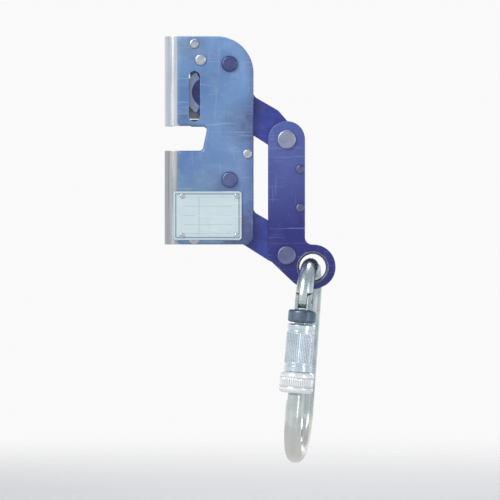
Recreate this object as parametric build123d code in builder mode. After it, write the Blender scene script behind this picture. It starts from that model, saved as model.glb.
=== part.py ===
from build123d import *
import math
import os

# Rope grab for an 8 mm wire-rope lifeline, hanging harness carabiner included.
# mm, +Z up, front face towards -Y, origin on the rope axis at housing mid-height.

# ---- driving dimensions -------------------------------------------------
rope_r = 4.0                 # rope the channel is made for
channel_r = 4.6              # guide inner radius
guide_r = 7.5                # guide outer radius
guide_lip_deg = 125.0        # where the rear lip of the guide ends
lead_in = 1.4                # flare at each channel mouth

half_h = 64.8                # half the housing height
cheek_in = 7.5               # |Y| of a cheek's inner face
cheek_t = 3.0                # cheek plate
cheek_out = cheek_in + cheek_t
cheek_left = 0.6
cheek_right = 48.0
top_corner_r = 23.0
win_top, win_bottom = 8.9, -6.4
win_right_top, win_right_bottom = 19.3, 16.2

pivot_x, pivot_z = 33.0, 47.5            # upper cam pivot
pivot_pitch = 72.0                       # upper to lower pivot
link_dx, link_dz = 35.5, -47.0           # pivot to arm pin
pin_x, pin_z = pivot_x + link_dx, pivot_z + link_dz
low_pin_z = pin_z - pivot_pitch
low_pivot_z = pivot_z - pivot_pitch

cam_x, cam_z, cam_r = 19.0, 30.0, 14.3   # toothed nose of the upper lever
pad_in_r = 9.5
tooth_depth = 0.9
lever_half = 4.2             # half the lever thickness
lever_boss_half = 4.5
lever_boss_r = 7.0
axle_r = 4.0
bush_bore_r = 4.06
bush_r = 5.5
bush_flange_r = 7.9
running = 0.06               # radial running clearance on a pin

arm_in, arm_out = 4.8, 7.8   # |Y| faces of the arm plates
arm_end_r = 11.5
eye_x, eye_z = 84.8, -79.0
eye_r = 8.3
eye_bush_r = 9.3
lug_r = 14.2

keeper_in, keeper_out = 10.8, 13.3
keeper_travel = 11.0
keeper_slot_x = 23.5
keeper_slots_z = (25.0, -47.0)

bar_r = 5.25                 # carabiner bar
crown_r = 20.0
basket_r = 24.6
basket_u, basket_w = 4.6, -93.5
gate_u = -20.0
hinge_w = -22.0
nose_w = -84.0
gate_r = 4.6
nose_bore_r = 6.6            # locking nut, over the end of the bar
carabiner_lean = 5.0         # degrees, bottom towards the rope
carabiner_yaw = 9.0         # degrees, out of the arm's plane

os.makedirs("parts", exist_ok=True)


def polar(cx, cz, r, deg):
    return (cx + r * math.cos(math.radians(deg)), cz + r * math.sin(math.radians(deg)))


# ---- housing cheeks -----------------------------------------------------
with BuildPart() as front_cheek:
    with BuildSketch(Plane.XZ.offset(cheek_in)):
        with BuildLine():
            FilletPolyline(
                (cheek_left, -half_h), (cheek_right, -half_h), (cheek_right, half_h),
                (cheek_left, half_h), (cheek_left, win_top), (win_right_top, win_top),
                (win_right_bottom, win_bottom), (cheek_left, win_bottom),
                radius=[2.6, 5.0, top_corner_r, 2.6, 2.4, 2.6, 2.6, 2.4], close=True)
        make_face()
    extrude(amount=cheek_t)
    fillet(front_cheek.faces().sort_by(Axis.Y)[0].outer_wire().edges(), 1.8)
    with BuildSketch(Plane.XZ.offset(cheek_in)):
        with Locations((pivot_x, pivot_z), (pivot_x, low_pivot_z)):
            Circle(axle_r)
        with Locations((15, 50), (15, -49)):
            Circle(2.0)
        with Locations((11, 60), (44.2, -8.5), (11, -61)):
            Circle(1.8)
        with Locations((11.2, 27.3)):
            SlotOverall(31.5, 7.0, rotation=90)
    extrude(amount=cheek_t, mode=Mode.SUBTRACT)
    with BuildSketch(Plane.XZ.offset(cheek_out)):
        with Locations((15, -49), (11, -61)):
            Circle(3.4)
    extrude(amount=-1.0, mode=Mode.SUBTRACT)
front_cheek.part.label = "front_cheek"
export_step(front_cheek.part, "parts/front_cheek.step")

with BuildPart() as back_cheek:
    with BuildSketch(Plane.XZ.offset(-cheek_out)):
        with BuildLine():
            FilletPolyline(
                (8.2, -half_h), (cheek_right, -half_h), (cheek_right, half_h), (8.2, half_h),
                (8.2, 36.6), (19.6, 36.6), (19.6, 13.4), (8.2, 13.4),
                (8.2, win_top), (win_right_top, win_top), (win_right_bottom, win_bottom), (8.2, win_bottom),
                (8.2, -35.4), (19.6, -35.4), (19.6, -58.6), (8.2, -58.6),
                radius=[2.0, 5.0, top_corner_r, 2.5,
                        1.5, 2.0, 2.0, 1.2,
                        1.2, 2.6, 2.6, 1.5,
                        1.5, 2.0, 2.0, 1.5], close=True)
        make_face()
    extrude(amount=cheek_t)
    fillet(back_cheek.faces().sort_by(Axis.Y)[-1].outer_wire().edges(), 0.7)
    with BuildSketch(Plane.XZ.offset(-cheek_out)):
        with Locations((pivot_x, pivot_z), (pivot_x, low_pivot_z)):
            Circle(axle_r)
        with Locations((11, 60), (44.2, -8.5), (11, -61)):
            Circle(1.8)
        with Locations((keeper_slot_x, keeper_slots_z[0]), (keeper_slot_x, keeper_slots_z[1])):
            Circle(2.5)
        with Locations((11.5, -20)):
            Circle(1.5)
    extrude(amount=cheek_t, mode=Mode.SUBTRACT)
back_cheek.part.label = "back_cheek"
export_step(back_cheek.part, "parts/back_cheek.step")

# ---- stainless rope guides ----------------------------------------------
lip = polar(0, 0, 40, guide_lip_deg)
with BuildPart() as upper_cable_guide:
    with BuildSketch(Plane.XY.offset(win_top)):
        Circle(guide_r)
        Polygon((0, 0), (0, -30), (40, -30), (40, lip[1]), lip, align=None, mode=Mode.SUBTRACT)
        with Locations((3.6, -(guide_r + channel_r) / 2)):
            Rectangle(7.2, guide_r - channel_r)
        Circle(channel_r, mode=Mode.SUBTRACT)
    extrude(amount=half_h - win_top)
    with BuildSketch(Plane.XZ.offset(channel_r)):
        with Locations((10.3, (43.5 + half_h) / 2)):
            RectangleRounded(20.4, half_h - 43.5, 1.5)
    extrude(amount=guide_r - channel_r)
    with Locations((0, 0, half_h)):
        Cone(channel_r, channel_r + lead_in, lead_in, align=(Align.CENTER, Align.CENTER, Align.MAX), mode=Mode.SUBTRACT)
    with BuildSketch(Plane.XZ):
        with Locations((15, 50)):
            Circle(2.0)
        with Locations((11, 60)):
            Circle(1.8)
    extrude(amount=12, mode=Mode.SUBTRACT)
upper_cable_guide.part.label = "upper_cable_guide"
export_step(upper_cable_guide.part, "parts/upper_cable_guide.step")

with BuildPart() as lower_cable_guide:
    with BuildSketch(Plane.XY.offset(-half_h)):
        Circle(guide_r)
        Polygon((0, 0), (0, -30), (40, -30), (40, lip[1]), lip, align=None, mode=Mode.SUBTRACT)
        with Locations((3.6, -(guide_r + channel_r) / 2)):
            Rectangle(7.2, guide_r - channel_r)
        Circle(channel_r, mode=Mode.SUBTRACT)
    extrude(amount=half_h + win_bottom)
    with BuildSketch(Plane.XZ.offset(channel_r)):
        with Locations((10.3, -(43.5 + half_h) / 2)):
            RectangleRounded(20.4, half_h - 43.5, 1.5)
    extrude(amount=guide_r - channel_r)
    with Locations((0, 0, -half_h)):
        Cone(channel_r + lead_in, channel_r, lead_in, align=(Align.CENTER, Align.CENTER, Align.MIN), mode=Mode.SUBTRACT)
    with BuildSketch(Plane.XZ):
        with Locations((15, -49)):
            Circle(2.0)
        with Locations((11, -61)):
            Circle(1.8)
    extrude(amount=12, mode=Mode.SUBTRACT)
lower_cable_guide.part.label = "lower_cable_guide"
export_step(lower_cable_guide.part, "parts/lower_cable_guide.step")

with BuildPart() as upper_guide_rivet:
    with BuildSketch(Plane.XZ.offset(channel_r)):
        with Locations((15, 50)):
            Circle(2.0)
    extrude(amount=cheek_out - channel_r)
    with BuildSketch(Plane.XZ.offset(cheek_out)):
        with Locations((15, 50)):
            Circle(3.6)
    extrude(amount=1.6)
    fillet(upper_guide_rivet.edges().filter_by(GeomType.CIRCLE).group_by(Axis.Y)[0], 1.3)
upper_guide_rivet.part.label = "upper_guide_rivet"
export_step(upper_guide_rivet.part, "parts/upper_guide_rivet.step")

with BuildPart() as lower_guide_rivet:
    with BuildSketch(Plane.XZ.offset(channel_r)):
        with Locations((15, -49)):
            Circle(2.0)
    extrude(amount=cheek_out - channel_r)
    with BuildSketch(Plane.XZ.offset(cheek_out)):
        with Locations((15, -49)):
            Circle(3.4)
    extrude(amount=-1.0)
lower_guide_rivet.part.label = "lower_guide_rivet"
export_step(lower_guide_rivet.part, "parts/lower_guide_rivet.step")

# ---- spacers between the cheeks -----------------------------------------
spacer_at = ((11, 60), (44.2, -8.5), (11, -61))
with BuildPart() as frame_spacers:
    with BuildSketch(Plane.XZ.offset(-cheek_in)):
        with Locations(spacer_at[1]):
            Circle(3.0)
            Circle(1.8, mode=Mode.SUBTRACT)
    extrude(amount=2 * cheek_in)
    with BuildSketch(Plane.XZ.offset(-cheek_in)):
        with Locations(spacer_at[0], spacer_at[2]):
            Circle(3.0)
            Circle(1.8, mode=Mode.SUBTRACT)
    extrude(amount=cheek_in + channel_r)
frame_spacers.part.label = "frame_spacers"
export_step(frame_spacers.part, "parts/frame_spacers.step")

with BuildPart() as spacer_rivets:
    with BuildSketch(Plane.XZ.offset(-cheek_out)):
        with Locations(*spacer_at):
            Circle(1.8)
    extrude(amount=2 * cheek_out)
    with BuildSketch(Plane.XZ.offset(cheek_out)):
        with Locations(spacer_at[0], spacer_at[1]):
            Circle(3.0)
    extrude(amount=1.3)
    with BuildSketch(Plane.XZ.offset(cheek_out)):
        with Locations(spacer_at[2]):
            Circle(3.4)
    extrude(amount=-1.0)
    with BuildSketch(Plane.XZ.offset(-cheek_out)):
        with Locations(*spacer_at):
            Circle(2.6)
    extrude(amount=-1.2)
    fillet(spacer_rivets.edges().filter_by(GeomType.CIRCLE).group_by(Axis.Y)[0], 1.0)
    fillet(spacer_rivets.edges().filter_by(GeomType.CIRCLE).group_by(Axis.Y)[-1], 0.9)
spacer_rivets.part.label = "spacer_rivets"
export_step(spacer_rivets.part, "parts/spacer_rivets.step")

# ---- cam axles ----------------------------------------------------------
with BuildPart() as upper_cam_axle:
    with BuildSketch(Plane.XZ.offset(-cheek_out)):
        with Locations((pivot_x, pivot_z)):
            Circle(axle_r)
    extrude(amount=2 * cheek_out)
    with BuildSketch(Plane.XZ.offset(cheek_out)):
        with Locations((pivot_x, pivot_z)):
            Circle(5.0)
    extrude(amount=2.2)
    fillet(upper_cam_axle.edges().filter_by(GeomType.CIRCLE).group_by(Axis.Y)[0], 1.4)
    with BuildSketch(Plane.XZ.offset(-cheek_out)):
        with Locations((pivot_x, pivot_z)):
            Circle(1.2)
    extrude(amount=1.2, mode=Mode.SUBTRACT)
upper_cam_axle.part.label = "upper_cam_axle"
export_step(upper_cam_axle.part, "parts/upper_cam_axle.step")

with BuildPart() as lower_cam_axle:
    add(upper_cam_axle.part.moved(Location((0, 0, -pivot_pitch))))
lower_cam_axle.part.label = "lower_cam_axle"
export_step(lower_cam_axle.part, "parts/lower_cam_axle.step")

# ---- marking plate ------------------------------------------------------
with BuildPart() as marking_plate:
    with BuildSketch(Plane.XZ.offset(cheek_out)):
        with Locations((19.3, -46.95)):
            RectangleRounded(42.6, 30.4, 2.0)
        with Locations((3.6, -34.7), (37.6, -34.7), (37.6, -59.2), (3.6, -59.2)):
            Circle(0.9, mode=Mode.SUBTRACT)
    extrude(amount=0.9)
marking_plate.part.label = "marking_plate"
export_step(marking_plate.part, "parts/marking_plate.step")

with BuildPart() as marking_plate_pins:
    with BuildSketch(Plane.XZ.offset(cheek_out)):
        with Locations((3.6, -34.7), (37.6, -34.7), (37.6, -59.2), (3.6, -59.2)):
            Circle(0.9)
    extrude(amount=0.9)
    with BuildSketch(Plane.XZ.offset(cheek_out + 0.9)):
        with Locations((3.6, -34.7), (37.6, -34.7), (37.6, -59.2), (3.6, -59.2)):
            Circle(1.6)
    extrude(amount=0.8)
    fillet(marking_plate_pins.edges().filter_by(GeomType.CIRCLE).group_by(Axis.Y)[0], 0.5)
marking_plate_pins.part.label = "marking_plate_pins"
export_step(marking_plate_pins.part, "parts/marking_plate_pins.step")

# ---- cam levers ---------------------------------------------------------
pad_wedge = [(cam_x, cam_z), polar(cam_x, cam_z, 40, 118), (cam_x - 60, cam_z + 40),
             (cam_x - 60, cam_z - 40), polar(cam_x, cam_z, 40, 242)]
with BuildPart() as upper_cam_lever:
    with BuildSketch(Plane.XZ.offset(-lever_half)):
        Polygon((26.5, 54.4), (9.8, 41.0), (12.0, 19.0), (24.0, 16.6), (43.0, 6.3), (57.0, -2.6),
                (62.5, -5.2), (68.5, 0.5), (73.2, 7.2), (63.5, 18.6), (49.0, 27.0), (44.8, 35.0), (42.4, 46.0),
                align=None)
        with Locations((pivot_x, pivot_z)):
            Circle(9.5)
        with Locations((pin_x, pin_z)):
            Circle(8.2)
        with Locations((cam_x, cam_z)):
            Circle(cam_r)
    extrude(amount=2 * lever_half)
    fillet(upper_cam_lever.edges().filter_by(Axis.Y).filter_by(lambda e: 44 < e.center().X < 64 and e.center().Z > 10), 4.0)
    with BuildSketch(Plane.XZ.offset(-lever_boss_half)):
        with Locations((pin_x, pin_z)):
            Circle(lever_boss_r)
    extrude(amount=2 * lever_boss_half)
    with BuildSketch(Plane.XZ.offset(-10)):
        with BuildLine():
            Polyline(*pad_wedge, close=True)
        make_face()
        with Locations((cam_x, cam_z)):
            Circle(pad_in_r, mode=Mode.SUBTRACT)
    extrude(amount=20, mode=Mode.SUBTRACT)
    with BuildSketch(Plane.XZ.offset(-10)):
        with Locations((pivot_x, pivot_z)):
            Circle(bush_r)
        with Locations((pin_x, pin_z)):
            Circle(axle_r + running)
    extrude(amount=20, mode=Mode.SUBTRACT)
upper_cam_lever.part.label = "upper_cam_lever"
export_step(upper_cam_lever.part, "parts/upper_cam_lever.step")

with BuildPart() as lower_cam_lever:
    add(upper_cam_lever.part.moved(Location((0, 0, -pivot_pitch))))
lower_cam_lever.part.label = "lower_cam_lever"
export_step(lower_cam_lever.part, "parts/lower_cam_lever.step")

with BuildPart() as upper_cam_pad:
    with BuildSketch(Plane.XZ.offset(-lever_half)):
        with Locations((cam_x, cam_z)):
            Circle(cam_r)
            Circle(pad_in_r, mode=Mode.SUBTRACT)
        Polygon(*pad_wedge, align=None, mode=Mode.INTERSECT)
        for k in range(18):
            mid = 129 + k * 6.0
            Polygon(polar(cam_x, cam_z, cam_r - tooth_depth, mid - 1.2), polar(cam_x, cam_z, cam_r + 0.3, mid - 2.6),
                    polar(cam_x, cam_z, cam_r + 0.3, mid + 1.6), align=None, mode=Mode.SUBTRACT)
    extrude(amount=2 * lever_half)
upper_cam_pad.part.label = "upper_cam_pad"
export_step(upper_cam_pad.part, "parts/upper_cam_pad.step")

with BuildPart() as lower_cam_pad:
    add(upper_cam_pad.part.moved(Location((0, 0, -pivot_pitch))))
lower_cam_pad.part.label = "lower_cam_pad"
export_step(lower_cam_pad.part, "parts/lower_cam_pad.step")

with BuildPart() as upper_cam_bushes:
    with BuildSketch(Plane.XZ.offset(0.1)):
        with Locations((pivot_x, pivot_z)):
            Circle(bush_r)
            Circle(bush_bore_r, mode=Mode.SUBTRACT)
    extrude(amount=7.1)
    with BuildSketch(Plane.XZ.offset(lever_half)):
        with Locations((pivot_x, pivot_z)):
            Circle(bush_flange_r)
            Circle(bush_bore_r, mode=Mode.SUBTRACT)
    extrude(amount=7.2 - lever_half)
    mirror(about=Plane.XZ)
upper_cam_bushes.part.label = "upper_cam_bushes"
export_step(upper_cam_bushes.part, "parts/upper_cam_bushes.step")

with BuildPart() as lower_cam_bushes:
    add(upper_cam_bushes.part.moved(Location((0, 0, -pivot_pitch))))
lower_cam_bushes.part.label = "lower_cam_bushes"
export_step(lower_cam_bushes.part, "parts/lower_cam_bushes.step")

with BuildPart() as cam_return_spring:
    with BuildLine() as coil:
        Helix(pitch=1.45, height=1.8, radius=8.9, center=(pivot_x, 4.95, pivot_z), direction=(0, 1, 0))
    with BuildSketch(Plane(origin=coil.line @ 0, z_dir=coil.line % 0)):
        Circle(0.6)
    sweep()
cam_return_spring.part.label = "cam_return_spring"
export_step(cam_return_spring.part, "parts/cam_return_spring.step")

# ---- connecting arm -----------------------------------------------------
with BuildPart() as arm_front_plate:
    with BuildSketch(Plane.XZ.offset(arm_in)):
        with BuildLine():
            FilletPolyline(
                (pin_x - arm_end_r, -73.5), (75.5, -91.2), (eye_x + lug_r, -93.2), (eye_x + lug_r, -64.8),
                (pin_x + arm_end_r, -64.8), (pin_x + arm_end_r, pin_z + arm_end_r), (pin_x - arm_end_r, pin_z + arm_end_r),
                radius=[9.0, 13.0, 13.0, 13.8, 4.5, 11.3, 11.3], close=True)
        make_face()
    extrude(amount=arm_out - arm_in)
    fillet(arm_front_plate.faces().sort_by(Axis.Y)[0].outer_wire().edges(), 0.7)
    with BuildSketch(Plane.XZ.offset(arm_in)):
        with Locations((pin_x, pin_z), (pin_x, low_pin_z)):
            Circle(axle_r)
        with Locations((eye_x, eye_z)):
            Circle(eye_bush_r)
        with Locations((77, -18), (77, -42)):
            Circle(1.6)
    extrude(amount=arm_out - arm_in, mode=Mode.SUBTRACT)
arm_front_plate.part.label = "arm_front_plate"
export_step(arm_front_plate.part, "parts/arm_front_plate.step")

with BuildPart() as arm_back_plate:
    add(arm_front_plate.part.mirror(Plane.XZ))
arm_back_plate.part.label = "arm_back_plate"
export_step(arm_back_plate.part, "parts/arm_back_plate.step")

with BuildPart() as arm_web:
    with BuildSketch(Plane.XZ.offset(-arm_in)):
        with Locations((77, -30)):
            RectangleRounded(6.0, 36.0, 1.0)
        with Locations((77, -18), (77, -42)):
            Circle(1.6, mode=Mode.SUBTRACT)
    extrude(amount=2 * arm_in)
arm_web.part.label = "arm_web"
export_step(arm_web.part, "parts/arm_web.step")

with BuildPart() as arm_rivets:
    with BuildSketch(Plane.XZ.offset(-arm_out)):
        with Locations((77, -18), (77, -42)):
            Circle(1.6)
    extrude(amount=2 * arm_out)
    with BuildSketch(Plane.XZ.offset(arm_out)):
        with Locations((77, -18), (77, -42)):
            Circle(2.8)
    extrude(amount=1.3)
    with BuildSketch(Plane.XZ.offset(-arm_out)):
        with Locations((77, -18), (77, -42)):
            Circle(2.8)
    extrude(amount=-1.3)
    fillet(arm_rivets.edges().filter_by(GeomType.CIRCLE).group_by(Axis.Y)[0], 1.0)
    fillet(arm_rivets.edges().filter_by(GeomType.CIRCLE).group_by(Axis.Y)[-1], 1.0)
arm_rivets.part.label = "arm_rivets"
export_step(arm_rivets.part, "parts/arm_rivets.step")

with BuildPart() as lug_spacer:
    with BuildSketch(Plane.XZ.offset(-arm_in)):
        with Locations((eye_x, eye_z)):
            Circle(lug_r - 0.6)
            Circle(eye_bush_r, mode=Mode.SUBTRACT)
        with Locations((eye_x - 24.0, eye_z)):
            Rectangle(40, 40, mode=Mode.SUBTRACT)
        with Locations((pin_x, low_pin_z)):
            Circle(9.0, mode=Mode.SUBTRACT)
    extrude(amount=2 * arm_in)
lug_spacer.part.label = "lug_spacer"
export_step(lug_spacer.part, "parts/lug_spacer.step")

with BuildPart() as eye_bush:
    with BuildSketch(Plane.XZ.offset(-8.5)):
        with Locations((eye_x, eye_z)):
            Circle(eye_bush_r)
            Circle(eye_r, mode=Mode.SUBTRACT)
    extrude(amount=17.0)
    with BuildSketch(Plane.XZ.offset(arm_out)):
        with Locations((eye_x, eye_z)):
            Circle(9.9)
            Circle(eye_r, mode=Mode.SUBTRACT)
    extrude(amount=0.7)
    with BuildSketch(Plane.XZ.offset(-arm_out)):
        with Locations((eye_x, eye_z)):
            Circle(9.9)
            Circle(eye_r, mode=Mode.SUBTRACT)
    extrude(amount=-0.7)
    fillet(eye_bush.edges().filter_by(GeomType.CIRCLE).filter_by(lambda e: e.radius < eye_r + 0.1), 1.2)
eye_bush.part.label = "eye_bush"
export_step(eye_bush.part, "parts/eye_bush.step")

with BuildPart() as upper_link_pin:
    with BuildSketch(Plane.XZ.offset(-arm_out)):
        with Locations((pin_x, pin_z)):
            Circle(axle_r)
    extrude(amount=2 * arm_out)
    with BuildSketch(Plane.XZ.offset(arm_out)):
        with Locations((pin_x, pin_z)):
            Circle(6.0)
    extrude(amount=2.0)
    with BuildSketch(Plane.XZ.offset(-arm_out)):
        with Locations((pin_x, pin_z)):
            Circle(5.6)
    extrude(amount=-1.5)
    fillet(upper_link_pin.edges().filter_by(GeomType.CIRCLE).group_by(Axis.Y)[0], 1.3)
    fillet(upper_link_pin.edges().filter_by(GeomType.CIRCLE).group_by(Axis.Y)[-1], 0.9)
upper_link_pin.part.label = "upper_link_pin"
export_step(upper_link_pin.part, "parts/upper_link_pin.step")

with BuildPart() as lower_link_pin:
    add(upper_link_pin.part.moved(Location((0, 0, -pivot_pitch))))
lower_link_pin.part.label = "lower_link_pin"
export_step(lower_link_pin.part, "parts/lower_link_pin.step")

# ---- rear keeper --------------------------------------------------------
with BuildPart() as keeper_plate:
    with BuildSketch(Plane.XZ.offset(-keeper_out)):
        with BuildLine():
            FilletPolyline(
                (20.6, 14.0), (5.4, 14.0), (5.4, 36.0), (18.0, 36.0), (21.0, 38.5), (30.0, 38.5),
                (30.0, -58.0), (5.4, -58.0), (5.4, -36.0), (20.6, -36.0),
                radius=[2.5, 0.5, 0.5, 2.0, 2.0, 3.0, 3.0, 0.5, 0.5, 2.5], close=True)
        make_face()
    extrude(amount=keeper_out - keeper_in)
    with BuildSketch(Plane.XZ.offset(-keeper_in)):
        with Locations((6.7, 25.0), (6.7, -47.0)):
            Rectangle(2.6, 21.4)
    extrude(amount=keeper_in - 4.9)
    with BuildSketch(Plane.XZ.offset(-7.4)):
        with Locations((2.9, 25.0), (2.9, -47.0)):
            Rectangle(10.2, 21.4)
    extrude(amount=2.5)
    with BuildSketch(Plane.XZ.offset(-keeper_out)):
        with Locations((keeper_slot_x - keeper_travel / 2, keeper_slots_z[0]), (keeper_slot_x - keeper_travel / 2, keeper_slots_z[1])):
            SlotCenterToCenter(keeper_travel, 2 * 2.58)
        with Locations((26.5, -20.0)):
            Circle(1.2)
        with Locations((25.3, -4.0), (25.3, 8.0)):
            Circle(1.1)
    extrude(amount=keeper_out - keeper_in, mode=Mode.SUBTRACT)
keeper_plate.part.label = "keeper_plate"
export_step(keeper_plate.part, "parts/keeper_plate.step")

with BuildPart() as keeper_thumb_pad:
    with BuildSketch(Plane.XZ.offset(-keeper_out)):
        with Locations((25.3, 2.0)):
            RectangleRounded(8.6, 20.0, 1.6)
    extrude(amount=-2.2)
    with BuildSketch(Plane.XZ.offset(-(keeper_out + 2.2))):
        with Locations((25.3 - 2.9, 2.0), (25.3, 2.0), (25.3 + 2.9, 2.0)):
            Rectangle(1.4, 17.0)
    extrude(amount=-2.0, taper=14)
    with BuildSketch(Plane.XZ.offset(-keeper_in)):
        with Locations((25.3, -4.0), (25.3, 8.0)):
            Circle(1.1)
    extrude(amount=-(keeper_out - keeper_in))
keeper_thumb_pad.part.label = "keeper_thumb_pad"
export_step(keeper_thumb_pad.part, "parts/keeper_thumb_pad.step")

with BuildPart() as keeper_shoulder_rivets:
    with BuildSketch(Plane.XZ.offset(-cheek_in)):
        with Locations((keeper_slot_x, keeper_slots_z[0]), (keeper_slot_x, keeper_slots_z[1])):
            Circle(2.5)
    extrude(amount=-(keeper_out + 0.3 - cheek_in))
    with BuildSketch(Plane.XZ.offset(-(keeper_out + 0.3))):
        with Locations((keeper_slot_x, keeper_slots_z[0]), (keeper_slot_x, keeper_slots_z[1])):
            Circle(4.4)
    extrude(amount=-1.6)
    fillet(keeper_shoulder_rivets.edges().filter_by(GeomType.CIRCLE).group_by(Axis.Y)[-1], 1.1)
keeper_shoulder_rivets.part.label = "keeper_shoulder_rivets"
export_step(keeper_shoulder_rivets.part, "parts/keeper_shoulder_rivets.step")

with BuildPart() as spring_anchor_post:
    with BuildSketch(Plane.XZ.offset(-cheek_in)):
        with Locations((11.5, -20)):
            Circle(1.5)
    extrude(amount=-(16.6 - cheek_in))
    with BuildSketch(Plane.XZ.offset(-16.6)):
        with Locations((11.5, -20)):
            Circle(2.4)
    extrude(amount=-0.9)
spring_anchor_post.part.label = "spring_anchor_post"
export_step(spring_anchor_post.part, "parts/spring_anchor_post.step")

with BuildPart() as spring_hook_post:
    with BuildSketch(Plane.XZ.offset(-keeper_in)):
        with Locations((26.5, -20)):
            Circle(1.2)
    extrude(amount=-(16.6 - keeper_in))
    with BuildSketch(Plane.XZ.offset(-16.6)):
        with Locations((26.5, -20)):
            Circle(2.2)
    extrude(amount=-0.9)
spring_hook_post.part.label = "spring_hook_post"
export_step(spring_hook_post.part, "parts/spring_hook_post.step")

with BuildPart() as keeper_spring:
    with BuildLine() as coil2:
        Helix(pitch=1.1, height=8.8, radius=1.45, center=(14.6, 15.4, -20), direction=(1, 0, 0))
    with BuildSketch(Plane(origin=coil2.line @ 0, z_dir=coil2.line % 0)):
        Circle(0.4)
    sweep()
    with BuildSketch(Plane.XZ.offset(-15.0)):
        with Locations((11.5, -20)):
            Circle(2.4)
            Circle(1.6, mode=Mode.SUBTRACT)
        with Locations((26.5, -20)):
            Circle(2.1)
            Circle(1.3, mode=Mode.SUBTRACT)
        with Locations((14.3, -20)):
            Rectangle(1.4, 3.4)
        with Locations((23.9, -20)):
            Rectangle(1.2, 3.4)
    extrude(amount=-0.8)
keeper_spring.part.label = "keeper_spring"
export_step(keeper_spring.part, "parts/keeper_spring.step")

# ---- carabiner ----------------------------------------------------------
lean = math.radians(carabiner_lean)
yaw = math.radians(carabiner_yaw)
up = Vector(math.sin(lean), 0, math.cos(lean))
side = Vector(math.sin(yaw), math.cos(yaw), 0)
normal = side.cross(up).normalized()
side = up.cross(normal).normalized()
cp = Plane(origin=(eye_x - 0.9, 0, eye_z + 0.7), x_dir=side, z_dir=normal)

span = math.hypot(basket_u, basket_w + crown_r)
ex, ew = basket_u / span, (basket_w + crown_r) / span
dot_c = -crown_r * ex
t_top = (2 * dot_c * ex + crown_r, -crown_r + 2 * dot_c * ew)
dot_b = -basket_r * ex
t_bot = (basket_u + 2 * dot_b * ex + basket_r, basket_w + 2 * dot_b * ew)

with BuildPart() as carabiner_body:
    with BuildLine(cp) as bar_path:
        Line((gate_u, nose_w + 3.8), (gate_u, basket_w))
        ThreePointArc((gate_u, basket_w), (basket_u, basket_w - basket_r), t_bot)
        Line(t_bot, t_top)
        ThreePointArc(t_top, (0, 0), (gate_u, -crown_r))
        Line((gate_u, -crown_r), (gate_u, hinge_w - 4.4))
    with BuildSketch(Plane(origin=bar_path.line @ 0, z_dir=bar_path.line % 0)):
        Circle(bar_r)
    sweep()
    with BuildSketch(cp.offset(2.5)):
        with Locations((gate_u, hinge_w)):
            Rectangle(16, 11.2)
    extrude(amount=6, mode=Mode.SUBTRACT)
    with BuildSketch(cp.offset(-2.5)):
        with Locations((gate_u, hinge_w)):
            Rectangle(16, 11.2)
    extrude(amount=-6, mode=Mode.SUBTRACT)
    with BuildSketch(cp.offset(-8)):
        with Locations((gate_u, hinge_w - 4.0)):
            Rectangle(16, 8.0)
        with Locations((gate_u, hinge_w)):
            Circle(4.4, mode=Mode.SUBTRACT)
    extrude(amount=16, mode=Mode.SUBTRACT)
    with BuildSketch(cp.offset(-8)):
        with Locations((gate_u, hinge_w)):
            Circle(1.6)
    extrude(amount=16, mode=Mode.SUBTRACT)
    with BuildSketch(cp.offset(-8)):
        with Locations((gate_u - 3.4 + 8, nose_w + 2.5)):
            Rectangle(16, 5.0)
    extrude(amount=16, mode=Mode.SUBTRACT)
carabiner_body.part.label = "carabiner_body"
export_step(carabiner_body.part, "parts/carabiner_body.step")

with BuildPart() as gate_pivot_pin:
    with BuildSketch(cp.offset(-5.1)):
        with Locations((gate_u, hinge_w)):
            Circle(1.6)
    extrude(amount=10.2)
gate_pivot_pin.part.label = "gate_pivot_pin"
export_step(gate_pivot_pin.part, "parts/gate_pivot_pin.step")

gate_frame = Plane(origin=cp.from_local_coords((gate_u, 0, 0)), x_dir=side, z_dir=up)
with BuildPart() as carabiner_gate:
    with BuildSketch(gate_frame.offset(nose_w + 0.4)):
        Circle(gate_r)
    extrude(amount=(hinge_w - 5.4) - (nose_w + 0.4))
    with BuildSketch(gate_frame.offset(hinge_w - 5.4)):
        Circle(bar_r)
    extrude(amount=10.8)
    with BuildSketch(cp.offset(-8)):
        with Locations((gate_u, hinge_w + 4.0)):
            Rectangle(16, 8.0)
        with Locations((gate_u, hinge_w)):
            Circle(5.2, mode=Mode.SUBTRACT)
    extrude(amount=16, mode=Mode.SUBTRACT)
    with BuildSketch(cp.offset(-2.8)):
        with Locations((gate_u, hinge_w + 3.2)):
            Rectangle(16, 16.0)
    extrude(amount=5.6, mode=Mode.SUBTRACT)
    with BuildSketch(cp.offset(-8)):
        with Locations((gate_u, hinge_w)):
            Circle(1.6 + running)
    extrude(amount=16, mode=Mode.SUBTRACT)
    with BuildSketch(cp.offset(-8)):
        with Locations((gate_u - 3.1 - 4, nose_w + 2.0)):
            Rectangle(8, 5.2)
    extrude(amount=16, mode=Mode.SUBTRACT)
    with BuildSketch(gate_frame.offset(hinge_w - 24)):
        Circle(1.7)
    extrude(amount=19.3, mode=Mode.SUBTRACT)
carabiner_gate.part.label = "carabiner_gate"
export_step(carabiner_gate.part, "parts/carabiner_gate.step")

with BuildPart() as gate_plunger:
    with BuildSketch(gate_frame.offset(hinge_w - 9.2)):
        Circle(1.7)
    extrude(amount=4.3)
    fillet(gate_plunger.edges().filter_by(GeomType.CIRCLE), 0.6)
gate_plunger.part.label = "gate_plunger"
export_step(gate_plunger.part, "parts/gate_plunger.step")

with BuildPart() as gate_wire:
    with BuildLine() as coil3:
        Helix(pitch=1.3, height=13.0, radius=1.2)
    with BuildSketch(Plane(origin=coil3.line @ 0, z_dir=coil3.line % 0)):
        Circle(0.32)
    sweep()

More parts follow.
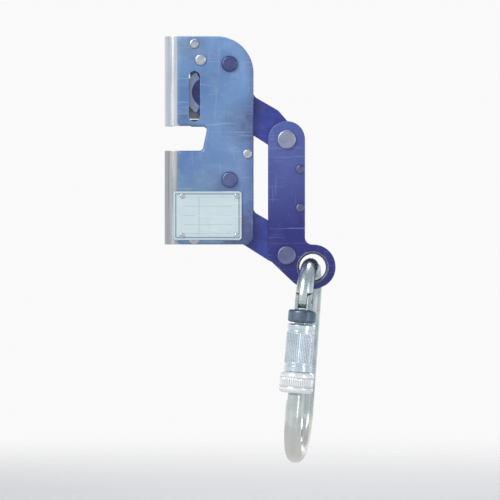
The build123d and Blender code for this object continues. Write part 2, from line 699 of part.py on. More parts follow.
with BuildPart() as gate_spring:
    add(gate_wire.part.moved(gate_frame.offset(hinge_w - 23.5).location))
gate_spring.part.label = "gate_spring"
export_step(gate_spring.part, "parts/gate_spring.step")

with BuildPart() as gate_collar:
    with BuildSketch(gate_frame.offset(hinge_w - 13.3)):
        Circle(8.7)
        Circle(gate_r, mode=Mode.SUBTRACT)
    extrude(amount=7.8)
    fillet(gate_collar.edges().filter_by(GeomType.CIRCLE).filter_by(lambda e: e.radius > 6), 1.6)
gate_collar.part.label = "gate_collar"
export_step(gate_collar.part, "parts/gate_collar.step")

with BuildPart() as sleeve_barrel:
    with BuildSketch(gate_frame.offset(-65.6)):
        Circle(8.6)
        Circle(gate_r + 0.08, mode=Mode.SUBTRACT)
    extrude(amount=29.4)
    with BuildSketch(gate_frame.offset(-62.5)):
        Circle(10)
        Circle(7.9, mode=Mode.SUBTRACT)
    extrude(amount=1.2, mode=Mode.SUBTRACT)
    with BuildSketch(gate_frame.offset(-40.6)):
        Circle(10)
        Circle(7.9, mode=Mode.SUBTRACT)
    extrude(amount=1.2, mode=Mode.SUBTRACT)
    chamfer(sleeve_barrel.edges().filter_by(GeomType.CIRCLE).filter_by(lambda e: e.radius > 8.5).sort_by(Axis(cp.origin, tuple(up)))[-1], 0.8)
sleeve_barrel.part.label = "sleeve_barrel"
export_step(sleeve_barrel.part, "parts/sleeve_barrel.step")

with BuildPart() as sleeve_nut:
    with BuildSketch(gate_frame.offset(-79.0)):
        Circle(10.6)
    extrude(amount=13.0)
    fillet(sleeve_nut.edges().filter_by(GeomType.CIRCLE), 2.4)
    with BuildSketch(gate_frame.offset(-79.0)):
        Circle(gate_r + 0.08)
    extrude(amount=13.0, mode=Mode.SUBTRACT)
    with BuildSketch(gate_frame.offset(-79.0)):
        Circle(nose_bore_r)
    extrude(amount=10.2, mode=Mode.SUBTRACT)
sleeve_nut.part.label = "sleeve_nut"
export_step(sleeve_nut.part, "parts/sleeve_nut.step")
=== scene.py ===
import bpy
import bmesh
import math
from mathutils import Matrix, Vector


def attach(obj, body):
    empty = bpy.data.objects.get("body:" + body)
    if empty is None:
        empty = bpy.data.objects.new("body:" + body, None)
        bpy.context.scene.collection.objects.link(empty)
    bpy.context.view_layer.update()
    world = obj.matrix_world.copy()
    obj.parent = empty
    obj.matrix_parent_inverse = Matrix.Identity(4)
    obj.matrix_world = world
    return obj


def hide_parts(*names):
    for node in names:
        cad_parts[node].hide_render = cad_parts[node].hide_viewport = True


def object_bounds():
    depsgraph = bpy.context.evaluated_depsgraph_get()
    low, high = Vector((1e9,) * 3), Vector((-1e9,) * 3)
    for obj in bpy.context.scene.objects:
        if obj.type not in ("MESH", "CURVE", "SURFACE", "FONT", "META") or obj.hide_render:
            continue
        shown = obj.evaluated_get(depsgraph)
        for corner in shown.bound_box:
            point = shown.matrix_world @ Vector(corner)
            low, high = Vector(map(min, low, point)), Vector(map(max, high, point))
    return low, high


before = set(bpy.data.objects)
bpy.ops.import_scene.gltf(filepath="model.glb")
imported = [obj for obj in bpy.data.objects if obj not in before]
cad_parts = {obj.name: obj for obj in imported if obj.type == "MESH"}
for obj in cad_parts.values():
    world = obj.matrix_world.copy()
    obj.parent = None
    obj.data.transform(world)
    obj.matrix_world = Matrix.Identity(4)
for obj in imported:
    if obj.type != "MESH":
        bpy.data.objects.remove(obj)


def corners(b):
    return [[float(v) for v in b[0]], [float(v) for v in b[1]]]


cad_box = corners(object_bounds())
MM = 0.001

# ------------------------------------------------------------------ node help
def srgb(r, g, b):
    def f(c):
        c /= 255.0
        return c / 12.92 if c <= 0.04045 else ((c + 0.055) / 1.055) ** 2.4
    return (f(r), f(g), f(b), 1.0)


class Mat:
    """A small wrapper for one procedural material."""

    def __init__(self, name):
        self.m = bpy.data.materials.new(name)
        self.m.use_nodes = True
        self.nt = self.m.node_tree
        self.nt.nodes.clear()
        self.out = self.nt.nodes.new("ShaderNodeOutputMaterial")
        self.b = self.nt.nodes.new("ShaderNodeBsdfPrincipled")
        self.link(self.b.outputs["BSDF"], self.out.inputs["Surface"])
        self.co = self.nt.nodes.new("ShaderNodeTexCoord").outputs["Object"]
        self._edge = {}

    def link(self, a, b):
        self.nt.links.new(a, b)

    def plug(self, value, socket):
        if hasattr(value, "is_output") or isinstance(value, bpy.types.NodeSocket):
            self.link(value, socket)
        else:
            socket.default_value = value

    def noise(self, scale, detail=4.0, rough=0.55, stretch=(1, 1, 1), offset=(0, 0, 0), distortion=0.0):
        mp = self.nt.nodes.new("ShaderNodeMapping")
        mp.inputs["Scale"].default_value = stretch
        mp.inputs["Location"].default_value = offset
        self.link(self.co, mp.inputs["Vector"])
        n = self.nt.nodes.new("ShaderNodeTexNoise")
        n.inputs["Scale"].default_value = scale
        n.inputs["Detail"].default_value = detail
        n.inputs["Roughness"].default_value = rough
        n.inputs["Distortion"].default_value = distortion
        self.link(mp.outputs["Vector"], n.inputs["Vector"])
        return n.outputs["Fac"]

    def ramp(self, fac, *stops):
        r = self.nt.nodes.new("ShaderNodeValToRGB")
        while len(r.color_ramp.elements) < len(stops):
            r.color_ramp.elements.new(0.5)
        for e, (p, c) in zip(r.color_ramp.elements, stops):
            e.position = p
            e.color = c if hasattr(c, "__len__") else (c, c, c, 1.0)
        self.link(fac, r.inputs["Fac"])
        return r.outputs["Color"]

    def math(self, op, a, b=0.0, c=None, clamp=False):
        n = self.nt.nodes.new("ShaderNodeMath")
        n.operation = op
        n.use_clamp = clamp
        self.plug(a, n.inputs[0])
        self.plug(b, n.inputs[1])
        if c is not None:
            self.plug(c, n.inputs[2])
        return n.outputs[0]

    def mix(self, fac, a, b):
        n = self.nt.nodes.new("ShaderNodeMix")
        n.data_type = "RGBA"
        self.plug(fac, n.inputs["Factor"])
        self.plug(a, n.inputs[6])
        self.plug(b, n.inputs[7])
        return n.outputs[2]

    def range(self, v, a, b, c, d):
        n = self.nt.nodes.new("ShaderNodeMapRange")
        self.plug(v, n.inputs["Value"])
        for k, x in zip(("From Min", "From Max", "To Min", "To Max"), (a, b, c, d)):
            self.plug(x, n.inputs[k])
        return n.outputs["Result"]

    def axis(self, vec, origin=(0, 0, 0)):
        s = self.nt.nodes.new("ShaderNodeVectorMath")
        s.operation = "SUBTRACT"
        self.link(self.co, s.inputs[0])
        s.inputs[1].default_value = origin
        d = self.nt.nodes.new("ShaderNodeVectorMath")
        d.operation = "DOT_PRODUCT"
        self.link(s.outputs[0], d.inputs[0])
        d.inputs[1].default_value = vec
        return d.outputs["Value"]

    def edge(self, radius):
        """0 on flat faces, rising to 1 along outer and inner edges."""
        if radius in self._edge:
            return self._edge[radius]
        bv = self.nt.nodes.new("ShaderNodeBevel")
        bv.samples = 6
        bv.inputs["Radius"].default_value = radius
        g = self.nt.nodes.new("ShaderNodeNewGeometry")
        d = self.nt.nodes.new("ShaderNodeVectorMath")
        d.operation = "DOT_PRODUCT"
        self.link(bv.outputs["Normal"], d.inputs[0])
        self.link(g.outputs["Normal"], d.inputs[1])
        v = self.math("SUBTRACT", 1.0, d.outputs["Value"], clamp=True)
        v = self.math("MULTIPLY", v, 6.0, clamp=True)
        self._edge[radius] = v
        self._bevel = bv
        return v

    def bump(self, *layers, soft=0.0):
        """layers are (height socket, strength, distance in metres)."""
        last = None
        if soft:
            bv = self.nt.nodes.new("ShaderNodeBevel")
            bv.samples = 6
            bv.inputs["Radius"].default_value = soft
            last = bv.outputs["Normal"]
        for h, strength, dist in layers:
            n = self.nt.nodes.new("ShaderNodeBump")
            n.inputs["Strength"].default_value = strength
            n.inputs["Distance"].default_value = dist
            self.link(h, n.inputs["Height"])
            if last is not None:
                self.link(last, n.inputs["Normal"])
            last = n.outputs["Normal"]
        self.link(last, self.b.inputs["Normal"])

    def set(self, **kw):
        for k, v in kw.items():
            name = {"color": "Base Color", "metal": "Metallic", "rough": "Roughness", "spec": "Specular IOR Level",
                    "coat": "Coat Weight", "coat_rough": "Coat Roughness", "aniso": "Anisotropic", "ior": "IOR"}[k]
            self.plug(v, self.b.inputs[name])
        return self


# ------------------------------------------------------------------ materials
def painted(name, deep, mid, light, worn, chip_at=0.66, coat=0.4, base_rough=0.30, painted_lower_shade=None, dusty=0.16, tint=None, grime_and_shade=(), rim=None):
    """Powder coat: soft mottling, orange peel, rubbed edges, chips down to grey primer, fine scratches, and optional
    painted shade (darker lower part, darker right edge, dark patches at given spots).
    """
    m = Mat(name)
    cloud = m.noise(22, 5, 0.6, offset=(3.1, 0.4, 1.7))
    col = m.ramp(cloud, (0.30, deep), (0.52, mid), (0.74, light))
    # painted shade: colour darkened towards the lower right, standing in for shading on the lower part
    if painted_lower_shade is not None:
        z_hi, z_lo, dark, amount = painted_lower_shade
        t = m.range(m.axis((0.22, 0, -1.0)), -z_hi, -z_lo, 0.0, amount)
        col = m.mix(t, col, dark)
    if tint is not None:
        col = m.mix(m.range(m.noise(31, 4, 0.62, offset=(6, 0, 3)), 0.46, 0.66, 0.0, 0.55), col, tint)
    for gx, gz, gr, amount in grime_and_shade:
        # painted shade: dark patches round fasteners, the slot, a corner and the right edge
        d = m.math("ADD", m.math("POWER", m.axis((1, 0, 0), (gx * MM, 0, 0)), 2.0),
                   m.math("POWER", m.axis((0, 0, 1), (0, 0, gz * MM)), 2.0))
        near = m.range(m.math("SQRT", d), gr * MM, gr * MM * 0.25, 0.0, amount)
        near = m.math("MULTIPLY", near, m.range(m.noise(130, 5, 0.65, offset=(gx * 0.1, 1, gz * 0.1)), 0.30, 0.60, 0.45, 1.0), clamp=True)
        col = m.mix(near, col, srgb(58, 66, 108))
    # painted shade: colour darkened towards the right edge, standing in for the shaded rounded edge
    if rim is not None:
        x0, x1, amount, tone = rim
        t = m.range(m.axis((1, 0, 0)), x0 * MM, x1 * MM, 0.0, amount)
        t = m.math("MULTIPLY", t, m.range(m.noise(75, 4, 0.6, offset=(8, 3, 3)), 0.3, 0.6, 0.55, 1.0), clamp=True)
        col = m.mix(t, col, tone)
    dust = m.range(m.noise(95, 6, 0.7, offset=(0, 7, 2)), 0.52, 0.78, 0.0, dusty)
    col = m.mix(dust, col, (0.58, 0.62, 0.68, 1))
    fleck = m.range(m.noise(620, 3, 0.6), 0.60, 0.72, 0.0, 0.10)
    col = m.mix(fleck, col, deep)
    e = m.edge(0.0011)
    wear_n = m.noise(260, 6, 0.65, offset=(1, 2, 3))
    wear = m.math("MULTIPLY", e, m.range(wear_n, 0.42, 0.62, 0.0, 1.0))
    col = m.mix(m.math("MULTIPLY", wear, 0.75), col, worn)
    chips = m.math("MULTIPLY", m.range(m.noise(150, 8, 0.72, offset=(9, 1, 5)), chip_at, chip_at + 0.02, 0.0, 1.0),
                   m.range(m.noise(38, 2, 0.5, offset=(2, 8, 4)), 0.46, 0.62, 0.0, 1.0))
    col = m.mix(chips, col, srgb(146, 150, 156))
    scr = m.range(m.noise(34, 2, 0.5, stretch=(1, 1, 26), offset=(5, 5, 5), distortion=0.35), 0.655, 0.675, 0.0, 0.5)
    scr2 = m.range(m.noise(30, 2, 0.5, stretch=(24, 1, 1.6), offset=(1, 9, 5), distortion=0.5), 0.68, 0.70, 0.0, 0.4)
    col = m.mix(m.math("MAXIMUM", scr, scr2), col, light)
    bare = m.math("MAXIMUM", m.math("MULTIPLY", wear, 0.5), chips)
    rough = m.range(m.noise(140, 4, 0.6, offset=(4, 4, 0)), 0.3, 0.7, base_rough - 0.06, base_rough + 0.12)
    rough = m.math("ADD", rough, m.math("MULTIPLY", bare, 0.16))
    m.set(color=col, metal=m.math("MULTIPLY", bare, 0.7), rough=rough, coat=coat, coat_rough=0.16)
    peel = m.noise(900, 2, 0.5)
    m.bump((peel, 0.16, 0.00025), (m.noise(160, 4, 0.5, offset=(2, 2, 2)), 0.10, 0.0006),
           (m.math("SUBTRACT", 1.0, chips), 0.35, 0.00012), soft=0.0006)
    return m.m


def brushed(name, base, dark, along=(1, 1, 0.035), rough=(0.22, 0.42), scale=900, stain=0.25, tint=(0.55, 0.53, 0.50, 1), soft=0.0004):
    """Rolled or brushed steel: hair lines along one axis, faint staining, scuffs, polished edges."""
    m = Mat(name)
    hair = m.noise(scale, 3, 0.6, stretch=along)
    hair2 = m.noise(scale * 0.35, 2, 0.6, stretch=along, offset=(4, 4, 4))
    col = m.ramp(hair, (0.28, dark), (0.60, base))
    col = m.mix(m.range(hair2, 0.35, 0.7, 0.0, 0.35), col, base)
    blot = m.range(m.noise(55, 6, 0.66, offset=(7, 2, 1)), 0.48, 0.74, 0.0, stain)
    col = m.mix(blot, col, tint)
    spots = m.range(m.noise(420, 5, 0.7, offset=(1, 6, 3)), 0.66, 0.72, 0.0, 0.45)
    col = m.mix(spots, col, dark)
    e = m.edge(0.0008)
    col = m.mix(m.math("MULTIPLY", e, 0.6), col, (0.86, 0.87, 0.88, 1))
    r = m.range(hair, 0.3, 0.7, rough[0], rough[1])
    r = m.math("ADD", r, m.math("MULTIPLY", blot, 0.35))
    m.set(color=col, metal=1.0, rough=r)
    m.bump((hair, 0.10, 0.00010), (m.noise(70, 4, 0.5, offset=(8, 1, 1)), 0.08, 0.0008),
           (m.noise(500, 4, 0.6, offset=(5, 1, 9)), 0.06, 0.0002), soft=soft)
    return m.m


def plated(name, base, dark, rough=(0.12, 0.30), smear=0.3, warm_reflection=None, soft=0.0004):
    """Zinc or chrome plate on a forged or bent bar: clouding, handling smears, small nicks."""
    m = Mat(name)
    cloud = m.noise(60, 6, 0.62, offset=(2, 5, 1))
    col = m.ramp(cloud, (0.28, dark), (0.62, base))
    # painted reflection: warm tan on the bottom of the bar stands in for warm surroundings reflected in the plating
    if warm_reflection is not None:
        z_hi, z_lo, tone = warm_reflection
        t = m.range(m.axis((0, 0, -1.0)), -z_hi, -z_lo, 0.0, 0.95)
        col = m.mix(m.math("MULTIPLY", t, m.range(m.noise(45, 4, 0.6, offset=(5, 0, 5)), 0.3, 0.6, 0.65, 1.0)), col, tone)
    nick = m.range(m.noise(330, 7, 0.7, offset=(3, 3, 8)), 0.655, 0.68, 0.0, 0.6)
    col = m.mix(nick, col, dark)
    e = m.edge(0.0007)
    col = m.mix(m.math("MULTIPLY", e, 0.45), col, (0.90, 0.91, 0.92, 1))
    sm = m.range(m.noise(26, 5, 0.6, stretch=(1, 1, 0.4), offset=(0, 3, 9), distortion=0.6), 0.42, 0.7, 0.0, smear)
    r = m.math("ADD", m.range(m.noise(210, 5, 0.65), 0.3, 0.7, rough[0], rough[1]), m.math("MULTIPLY", sm, 0.5))
    m.set(color=col, metal=1.0, rough=r)
    m.bump((m.noise(120, 5, 0.55, offset=(1, 1, 4)), 0.07, 0.0006), (m.noise(700, 4, 0.6), 0.05, 0.00015),
           (m.math("SUBTRACT", 1.0, nick), 0.3, 0.00008), soft=soft)
    return m.m


blue = painted("powder_blue", srgb(82, 118, 172), srgb(108, 144, 192), srgb(136, 168, 202), srgb(176, 188, 204),
               painted_lower_shade=(0.01, -0.085, srgb(66, 84, 144), 0.75), tint=srgb(112, 146, 172),
               # dark patches at these spots are painted shade
               grime_and_shade=((46, 10, 19, 0.75), (44, -58, 22, 0.8), (47, 62, 12, 0.5), (9, 59, 13, 0.38), (30, -30, 14, 0.35), (4, 12, 10, 0.4)),
               rim=(42.5, 48.0, 0.6, srgb(58, 68, 132)))
# enamel_navy: the lower part of the arm is darkened to deep navy, painted shade
navy = painted("enamel_navy", srgb(66, 82, 156), srgb(82, 100, 172), srgb(104, 124, 184), srgb(120, 130, 176),
               coat=0.30, base_rough=0.30, painted_lower_shade=(0.006, -0.070, srgb(16, 16, 114), 0.97), dusty=0.05)
navy_lever = painted("enamel_lever", srgb(20, 32, 112), srgb(36, 54, 150), srgb(66, 88, 174), srgb(118, 128, 174),
                     coat=0.30, base_rough=0.30, dusty=0.06)
dark_link = plated("eye_bush_dark", (0.13, 0.14, 0.24, 1), (0.055, 0.06, 0.12, 1), rough=(0.26, 0.44))
guide_bright = brushed("guide_upper_steel", (0.66, 0.71, 0.77, 1), (0.46, 0.52, 0.58, 1), rough=(0.20, 0.36))
guide_dull = brushed("guide_lower_steel", (0.48, 0.50, 0.53, 1), (0.32, 0.34, 0.36, 1), rough=(0.30, 0.48), stain=0.4)
keeper_steel = brushed("keeper_steel", (0.40, 0.43, 0.50, 1), (0.24, 0.26, 0.32, 1), along=(0.04, 1, 1), rough=(0.26, 0.44), stain=0.35)
rivet_steel = brushed("rivet_steel", (0.62, 0.66, 0.72, 1), (0.40, 0.43, 0.48, 1), along=(1, 1, 1), scale=500, rough=(0.18, 0.34))
zinc = brushed("zinc_plate", (0.56, 0.60, 0.68, 1), (0.36, 0.38, 0.44, 1), along=(1, 1, 1), scale=350, rough=(0.28, 0.46), stain=0.4)
# the same pin steel in a lighter and a darker copy: painted light and shade on the upper and lower link pins
link_pin = plated("link_pin_steel", (0.40, 0.44, 0.58, 1), (0.22, 0.24, 0.36, 1), rough=(0.24, 0.42))
link_pin_low = plated("link_pin_lower", (0.22, 0.23, 0.40, 1), (0.11, 0.12, 0.24, 1), rough=(0.26, 0.44))
black_pin = plated("axle_black_oxide", (0.15, 0.18, 0.37, 1), (0.07, 0.08, 0.20, 1), rough=(0.26, 0.44))
hard = brushed("cam_pad_steel", (0.34, 0.41, 0.60, 1), (0.17, 0.21, 0.35, 1), along=(1, 0.05, 1), rough=(0.26, 0.46))
spring = plated("spring_wire", (0.50, 0.51, 0.53, 1), (0.25, 0.26, 0.28, 1), rough=(0.18, 0.32), soft=0.0001)
bronze = plated("bush_bronze", (0.52, 0.36, 0.17, 1), (0.30, 0.19, 0.08, 1), rough=(0.28, 0.46))
bar = plated("carabiner_zinc", (0.70, 0.77, 0.77, 1), (0.40, 0.49, 0.53, 1), rough=(0.13, 0.30),
             warm_reflection=(-0.156, -0.20, (0.92, 0.88, 0.76, 1)))
gate_steel = plated("gate_zinc", (0.55, 0.62, 0.64, 1), (0.34, 0.40, 0.42, 1), rough=(0.16, 0.34))
# collar_dark: near-black finish on the gate collar, painted shade where the nose meets the gate
collar_dark = plated("collar_dark", (0.19, 0.25, 0.33, 1), (0.09, 0.12, 0.17, 1), rough=(0.24, 0.42))

# Gate axis frame, used for the pieces turned on it.
up = Vector((0.087156, 0.0, 0.996195))
side = Vector((0.155261, 0.98778, -0.013584))
normal = Vector((0.984021, -0.155854, -0.086091))
crown = Vector((83.9, 0.0, -78.3)) * MM
gate0 = crown + side * (-20.0 * MM)


def barrel_material():
    """Turned sleeve: lathe rings across the axis and a band of fine straight grip lines."""
    m = Mat("lock_barrel_steel")
    w = m.axis(tuple(up), tuple(gate0))
    a = m.math("ARCTAN2", m.axis(tuple(normal), tuple(gate0)), m.axis(tuple(side), tuple(gate0)))
    rings = m.math("SINE", m.math("MULTIPLY", w, 2 * math.pi / 0.00035))
    ribs = m.math("SINE", m.math("MULTIPLY", a, 44.0))
    band = m.math("MULTIPLY", m.range(w, -0.0605, -0.0598, 0.0, 1.0), m.range(w, -0.0425, -0.0418, 1.0, 0.0))
    cloud = m.noise(70, 5, 0.6, offset=(1, 2, 7))
    # painted reflection: the sleeve steel is tinted pale blue
    col = m.ramp(cloud, (0.30, (0.60, 0.71, 0.82, 1)), (0.62, (0.80, 0.89, 0.95, 1)))
    # painted shade: the valleys of the grip lines are darkened
    col = m.mix(m.math("MULTIPLY", band, m.range(ribs, -1.0, -0.2, 0.60, 0.0)), col, (0.24, 0.30, 0.38, 1))
    col = m.mix(m.math("MULTIPLY", m.edge(0.0006), 0.5), col, (0.90, 0.92, 0.94, 1))
    m.set(color=col, metal=1.0, rough=m.range(m.noise(240, 5, 0.65), 0.3, 0.7, 0.16, 0.34))
    m.bump((rings, 0.05, 0.00006), (m.math("MULTIPLY", ribs, band), 0.55, 0.00028), soft=0.0003)
    return m.m


def marking_material():
    """Anodised plate: pale field, rolled border darkened with painted shade, ruled entry boxes left blank, light
    handling marks.
    """
    m = Mat("marking_plate_print")
    x = m.axis((1, 0, 0), (19.3 * MM, 0, 0))
    z = m.axis((0, 0, 1), (0, 0, -46.95 * MM))
    ax = m.math("ABSOLUTE", x)
    az = m.math("ABSOLUTE", z)
    inset = m.math("MINIMUM", m.math("SUBTRACT", 21.3 * MM, ax), m.math("SUBTRACT", 15.2 * MM, az))
    col = m.ramp(m.noise(40, 5, 0.6, stretch=(0.3, 1, 1)), (0.3, srgb(196, 214, 221)), (0.7, srgb(218, 231, 235)))
    frame_line = m.math("MULTIPLY", m.range(inset, 0.0012, 0.0014, 0.0, 1.0), m.range(inset, 0.0019, 0.0021, 1.0, 0.0))
    # ruled rows, blank boxes
    row = m.math("PINGPONG", m.math("ADD", z, 0.0112), 0.00285)
    rows = m.range(row, 0.0, 0.00022, 1.0, 0.0)
    inside = m.math("MULTIPLY", m.range(ax, 0.0150, 0.0151, 1.0, 0.0), m.range(az, 0.0116, 0.0117, 1.0, 0.0))
    split = m.range(m.math("ABSOLUTE", m.math("ADD", x, 0.0052)), 0.0001, 0.00024, 1.0, 0.0)
    rules = m.math("MULTIPLY", m.math("MAXIMUM", rows, split), inside)
    ink = m.math("MAXIMUM", m.math("MULTIPLY", frame_line, 0.75), m.math("MULTIPLY", rules, 0.42))
    col = m.mix(ink, col, srgb(88, 108, 140))
    # painted shade: the plate is darkened along its rolled border
    border = m.range(inset, 0.0, 0.0009, 0.55, 0.0)
    col = m.mix(border, col, srgb(160, 172, 186))
    smear = m.range(m.noise(70, 6, 0.7, offset=(3, 3, 3)), 0.54, 0.78, 0.0, 0.35)
    col = m.mix(smear, col, srgb(166, 176, 186))
    scr = m.range(m.noise(40, 2, 0.5, stretch=(1, 1, 20), offset=(2, 5, 1), distortion=0.4), 0.66, 0.68, 0.0, 0.5)
    col = m.mix(scr, col, srgb(236, 240, 243))
    m.set(color=col, metal=0.35, rough=m.range(m.noise(180, 4, 0.6), 0.3, 0.7, 0.30, 0.46))
    m.bump((m.math("SUBTRACT", 1.0, ink), 0.25, 0.0001), (m.noise(900, 2, 0.5, stretch=(0.05, 1, 1)), 0.06, 0.0001), soft=0.0003)
    return m.m


def pad_material():
    """Moulded thumb pad: fine spark texture and rubbed rib tops."""
    m = Mat("thumb_pad_moulded")
    col = m.ramp(m.noise(120, 5, 0.6), (0.3, (0.020, 0.022, 0.026, 1)), (0.7, (0.045, 0.048, 0.055, 1)))
    col = m.mix(m.math("MULTIPLY", m.edge(0.0006), m.range(m.noise(300, 5, 0.6), 0.4, 0.65, 0.1, 0.8)), col, (0.20, 0.21, 0.23, 1))
    m.set(color=col, rough=m.range(m.noise(260, 4, 0.6), 0.3, 0.7, 0.42, 0.62))
    m.bump((m.noise(1500, 3, 0.6), 0.35, 0.00012), soft=0.0004)
    return m.m


def nut_material():
    m = Mat("lock_nut_chrome")
    a = m.noise(90, 5, 0.6, offset=(2, 2, 2))
    # painted highlight: the chrome nut is given a near-white, partly diffuse base
    col = m.ramp(a, (0.3, (0.90, 0.93, 0.93, 1)), (0.65, (0.98, 0.99, 0.99, 1)))
    grime_and_shade = m.range(m.noise(300, 6, 0.7, offset=(6, 1, 2)), 0.58, 0.72, 0.0, 0.35)
    col = m.mix(grime_and_shade, col, (0.45, 0.46, 0.46, 1))
    # darker in the knurl valleys and in the two turned grooves either side of it
    w = m.axis(tuple(up), tuple(gate0))
    ang = m.math("ARCTAN2", m.axis(tuple(normal), tuple(gate0)), m.axis(tuple(side), tuple(gate0)))
    teeth = m.range(m.math("COSINE", m.math("MULTIPLY", ang, 54.0)), -0.9, 0.1, 0.6, 0.0)
    band = m.math("MULTIPLY", m.range(w, -0.0751, -0.0748, 0.0, 1.0), m.range(w, -0.0703, -0.0700, 1.0, 0.0))
    col = m.mix(m.math("MULTIPLY", teeth, band), col, (0.34, 0.36, 0.38, 1))
    for wg in (-0.07525, -0.06975):
        line = m.range(m.math("ABSOLUTE", m.math("SUBTRACT", w, wg)), 0.00006, 0.00024, 0.65, 0.0)
        col = m.mix(line, col, (0.20, 0.21, 0.22, 1))
    m.set(color=col, metal=0.55, rough=m.range(m.noise(260, 5, 0.6), 0.3, 0.7, 0.14, 0.30))
    m.bump((m.noise(600, 4, 0.6), 0.06, 0.0001), soft=0.0002)
    return m.m


finish_of = {
    "front_cheek": blue, "back_cheek": blue,
    "upper_cable_guide": guide_bright, "lower_cable_guide": guide_dull,
    "upper_guide_rivet": rivet_steel, "lower_guide_rivet": rivet_steel,
    "frame_spacers": zinc, "spacer_rivets": zinc,
    "upper_cam_axle": black_pin, "lower_cam_axle": black_pin,
    "marking_plate": marking_material(), "marking_plate_pins": rivet_steel,
    "keeper_shoulder_rivets": rivet_steel, "spring_anchor_post": rivet_steel, "spring_hook_post": rivet_steel,
    "keeper_spring": spring, "cam_return_spring": spring, "gate_spring": spring,
    "upper_cam_lever": navy_lever, "lower_cam_lever": navy_lever,
    "upper_cam_pad": hard, "lower_cam_pad": hard,
    "upper_cam_bushes": bronze, "lower_cam_bushes": bronze,
    "arm_front_plate": navy, "arm_back_plate": navy, "arm_web": navy, "lug_spacer": navy,
    "arm_rivets": link_pin_low, "upper_link_pin": link_pin, "lower_link_pin": link_pin_low, "eye_bush": dark_link,
    "keeper_plate": keeper_steel, "keeper_thumb_pad": pad_material(),
    "carabiner_body": bar, "gate_pivot_pin": black_pin, "carabiner_gate": gate_steel, "gate_plunger": hard,
    "gate_collar": collar_dark, "sleeve_barrel": barrel_material(), "sleeve_nut": rivet_steel,
}
for name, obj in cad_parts.items():
    mat = finish_of[name]
    for s in obj.material_slots:
        s.material = mat
    if not obj.material_slots:
        obj.data.materials.append(mat)

# ------------------------------------------------------------------ knurled locking nut
def turned(name, profile, grooves, depth, zone, steps=8):
    """A ring turned about the gate axis: profile is (radius mm, w mm) round the section, knurled where zone says."""
    me = bpy.data.meshes.new(name)
    bm = bmesh.new()
    n = grooves * steps
    rows = []
    for k in range(n):
        t = 2 * math.pi * k / n
        ph = (k % steps) / steps
        cut = depth * (0.5 - 0.5 * math.cos(2 * math.pi * ph)) ** 1.6
        ring = []
        for r, w in profile:
            rr = r - cut * zone(r, w)
            p = gate0 + up * (w * MM) + side * (rr * MM * math.cos(t)) + normal * (rr * MM * math.sin(t))
            ring.append(bm.verts.new(p))
        rows.append(ring)
    m = len(profile)
    for k in range(n):
        a, b = rows[k], rows[(k + 1) % n]
        for j in range(m):
            bm.faces.new((a[j], b[j], b[(j + 1) % m], a[(j + 1) % m]))
    bmesh.ops.recalc_face_normals(bm, faces=bm.faces)
    for f in bm.faces:
        f.smooth = True
    bm.to_mesh(me)
    bm.free()
    o = bpy.data.objects.new(name, me)
    bpy.context.collection.objects.link(o)
    return o


def arc(r0, w0, r, a0, a1, k=6):
    return [(r0 + r * math.cos(math.radians(a0 + (a1 - a0) * i / k)), w0 + r * math.sin(math.radians(a0 + (a1 - a0) * i / k))) for i in range(k + 1)]


prof = []
prof += arc(8.2, -76.6, 2.4, -90, 0, 6)
prof += [(10.6, -76.2), (10.6, -75.8), (10.2, -75.4), (10.2, -75.1), (10.55, -74.8), (10.55, -74.0), (10.55, -73.0), (10.55, -72.0),
         (10.55, -71.0), (10.55, -70.2), (10.2, -69.9), (10.2, -69.6), (10.6, -69.2), (10.6, -68.8)]
prof += arc(8.2, -68.4, 2.4, 0, 90, 6)
prof += [(4.9, -66.0), (4.70, -66.2), (4.70, -68.6), (4.9, -68.8), (6.6, -68.9), (6.62, -78.6), (6.9, -79.0)]
nut = turned("lock_nut_knurled", prof, 54, 0.42, lambda r, w: 1.0 if (-75.0 < w < -70.1 and r > 10.3) else 0.0)
nut.data.materials.append(nut_material())
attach(nut, "lock_nut")
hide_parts("sleeve_nut")

# ------------------------------------------------------------------ stage
def stage_floor():
    me = bpy.data.meshes.new("floor_disc")
    bm = bmesh.new()
    bmesh.ops.create_circle(bm, cap_ends=True, segments=96, radius=1.5)
    bm.to_mesh(me)
    bm.free()
    o = bpy.data.objects.new("floor_disc", me)
    o.location = (0.045, 0.0, cad_box[0][2] - 0.045)
    bpy.context.collection.objects.link(o)
    m = bpy.data.materials.new("floor_pale")
    m.use_nodes = True
    nt = m.node_tree
    b = nt.nodes["Principled BSDF"]
    b.inputs["Roughness"].default_value = 0.6
    co = nt.nodes.new("ShaderNodeTexCoord")
    ln = nt.nodes.new("ShaderNodeVectorMath")
    ln.operation = "LENGTH"
    nt.links.new(co.outputs["Object"], ln.inputs[0])
    mr = nt.nodes.new("ShaderNodeMapRange")
    mr.interpolation_type = "SMOOTHSTEP"
    mr.inputs["From Min"].default_value = 0.35
    mr.inputs["From Max"].default_value = 1.4
    mr.inputs["To Min"].default_value = 0.0
    mr.inputs["To Max"].default_value = 1.0
    nt.links.new(ln.outputs["Value"], mr.inputs["Value"])
    n = nt.nodes.new("ShaderNodeTexNoise")
    n.inputs["Scale"].default_value = 9.0
    nt.links.new(co.outputs["Object"], n.inputs["Vector"])
    cr = nt.nodes.new("ShaderNodeValToRGB")
    cr.color_ramp.elements[0].color = (0.60, 0.60, 0.598, 1)
    cr.color_ramp.elements[1].color = (0.64, 0.64, 0.638, 1)
    nt.links.new(n.outputs["Fac"], cr.inputs["Fac"])
    nt.links.new(cr.outputs["Color"], b.inputs["Base Color"])
    tr = nt.nodes.new("ShaderNodeBsdfTransparent")
    mx = nt.nodes.new("ShaderNodeMixShader")
    nt.links.new(mr.outputs["Result"], mx.inputs["Fac"])
    nt.links.new(b.outputs["BSDF"], mx.inputs[1])
    nt.links.new(tr.outputs["BSDF"], mx.inputs[2])
    nt.links.new(mx.outputs["Shader"], nt.nodes["Material Output"].inputs["Surface"])
    me.materials.append(m)


stage_floor()

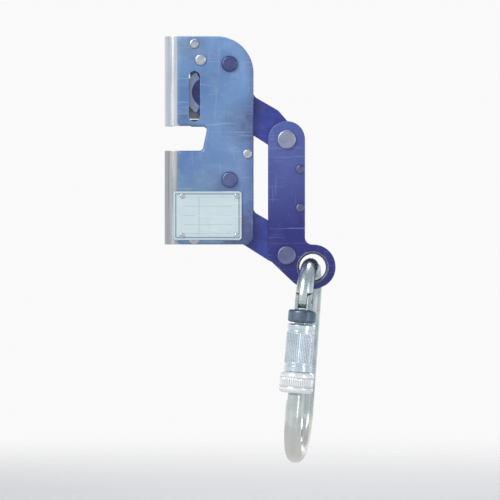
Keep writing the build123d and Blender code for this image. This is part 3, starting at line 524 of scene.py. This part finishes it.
scene = bpy.context.scene
world = bpy.data.worlds.new("studio")
scene.world = world
world.use_nodes = True
wn = world.node_tree
bg = wn.nodes["Background"]
co = wn.nodes.new("ShaderNodeTexCoord")
sep = wn.nodes.new("ShaderNodeSeparateXYZ")
wn.links.new(co.outputs["Generated"], sep.inputs["Vector"])


def world_range(value, lo, hi, a, b):
    n = wn.nodes.new("ShaderNodeMapRange")
    n.interpolation_type = "SMOOTHSTEP"
    for k, v in zip(("From Min", "From Max", "To Min", "To Max"), (lo, hi, a, b)):
        n.inputs[k].default_value = v
    wn.links.new(value, n.inputs["Value"])
    return n.outputs["Result"]


def world_mix(fac, a, b):
    n = wn.nodes.new("ShaderNodeMix")
    n.data_type = "RGBA"
    wn.links.new(fac, n.inputs["Factor"])
    for v, i in ((a, 6), (b, 7)):
        if isinstance(v, bpy.types.NodeSocket):
            wn.links.new(v, n.inputs[i])
        else:
            n.inputs[i].default_value = v
    return n.outputs[2]


# Studio cyclorama: a pale wall at eye level, a softer ceiling and a darker floor side.
height = world_mix(world_range(sep.outputs["Z"], -0.35, 0.45, 0.0, 1.0), (0.36, 0.36, 0.37, 1), (0.50, 0.53, 0.58, 1))
wall = world_mix(world_range(sep.outputs["Y"], -0.2, 0.75, 0.0, 1.0), (0.80, 0.81, 0.82, 1), (0.95, 0.95, 0.95, 1))
za = wn.nodes.new("ShaderNodeMath")
za.operation = "ABSOLUTE"
wn.links.new(sep.outputs["Z"], za.inputs[0])
band = world_range(za.outputs[0], 0.08, 0.34, 1.0, 0.0)
sky = world_mix(band, height, wall)
wn.links.new(sky, bg.inputs["Color"])
bg.inputs["Strength"].default_value = 1.0


def area(name, loc, target, size, power, color=(1, 1, 1)):
    d = bpy.data.lights.new(name, "AREA")
    d.shape = "RECTANGLE"
    d.size, d.size_y = size
    d.energy = power
    d.color = color
    o = bpy.data.objects.new(name, d)
    o.location = loc
    o.rotation_euler = (Vector(target) - Vector(loc)).to_track_quat("-Z", "Y").to_euler()
    bpy.context.collection.objects.link(o)


aim = (0.045, 0.0, -0.07)
area("key", (-0.75, -1.05, 0.75), aim, (0.55, 0.8), 12, (1.0, 0.985, 0.96))
area("fill", (1.15, -0.85, 0.10), aim, (0.35, 1.0), 2.5, (0.94, 0.97, 1.0))
area("top", (0.1, 0.35, 1.1), aim, (0.8, 0.5), 4)
area("rear", (0.3, 1.2, 0.3), aim, (0.9, 0.6), 2.5)

scene.view_settings.view_transform = "Standard"
scene.view_settings.look = "None"

cam_d = bpy.data.cameras.new("camera")
cam = bpy.data.objects.new("camera", cam_d)
bpy.context.collection.objects.link(cam)
scene.camera = cam
cx = (cad_box[0][0] + cad_box[1][0]) / 2
cz = (cad_box[0][2] + cad_box[1][2]) / 2
cam.location = (cx, -2.6, cz)
cam.rotation_euler = (math.radians(90), 0, 0)
cam_d.sensor_width = 36
cam_d.lens = 36 * 2.6 / 0.312
cam_d.clip_start = 0.05
cam_d.clip_end = 50
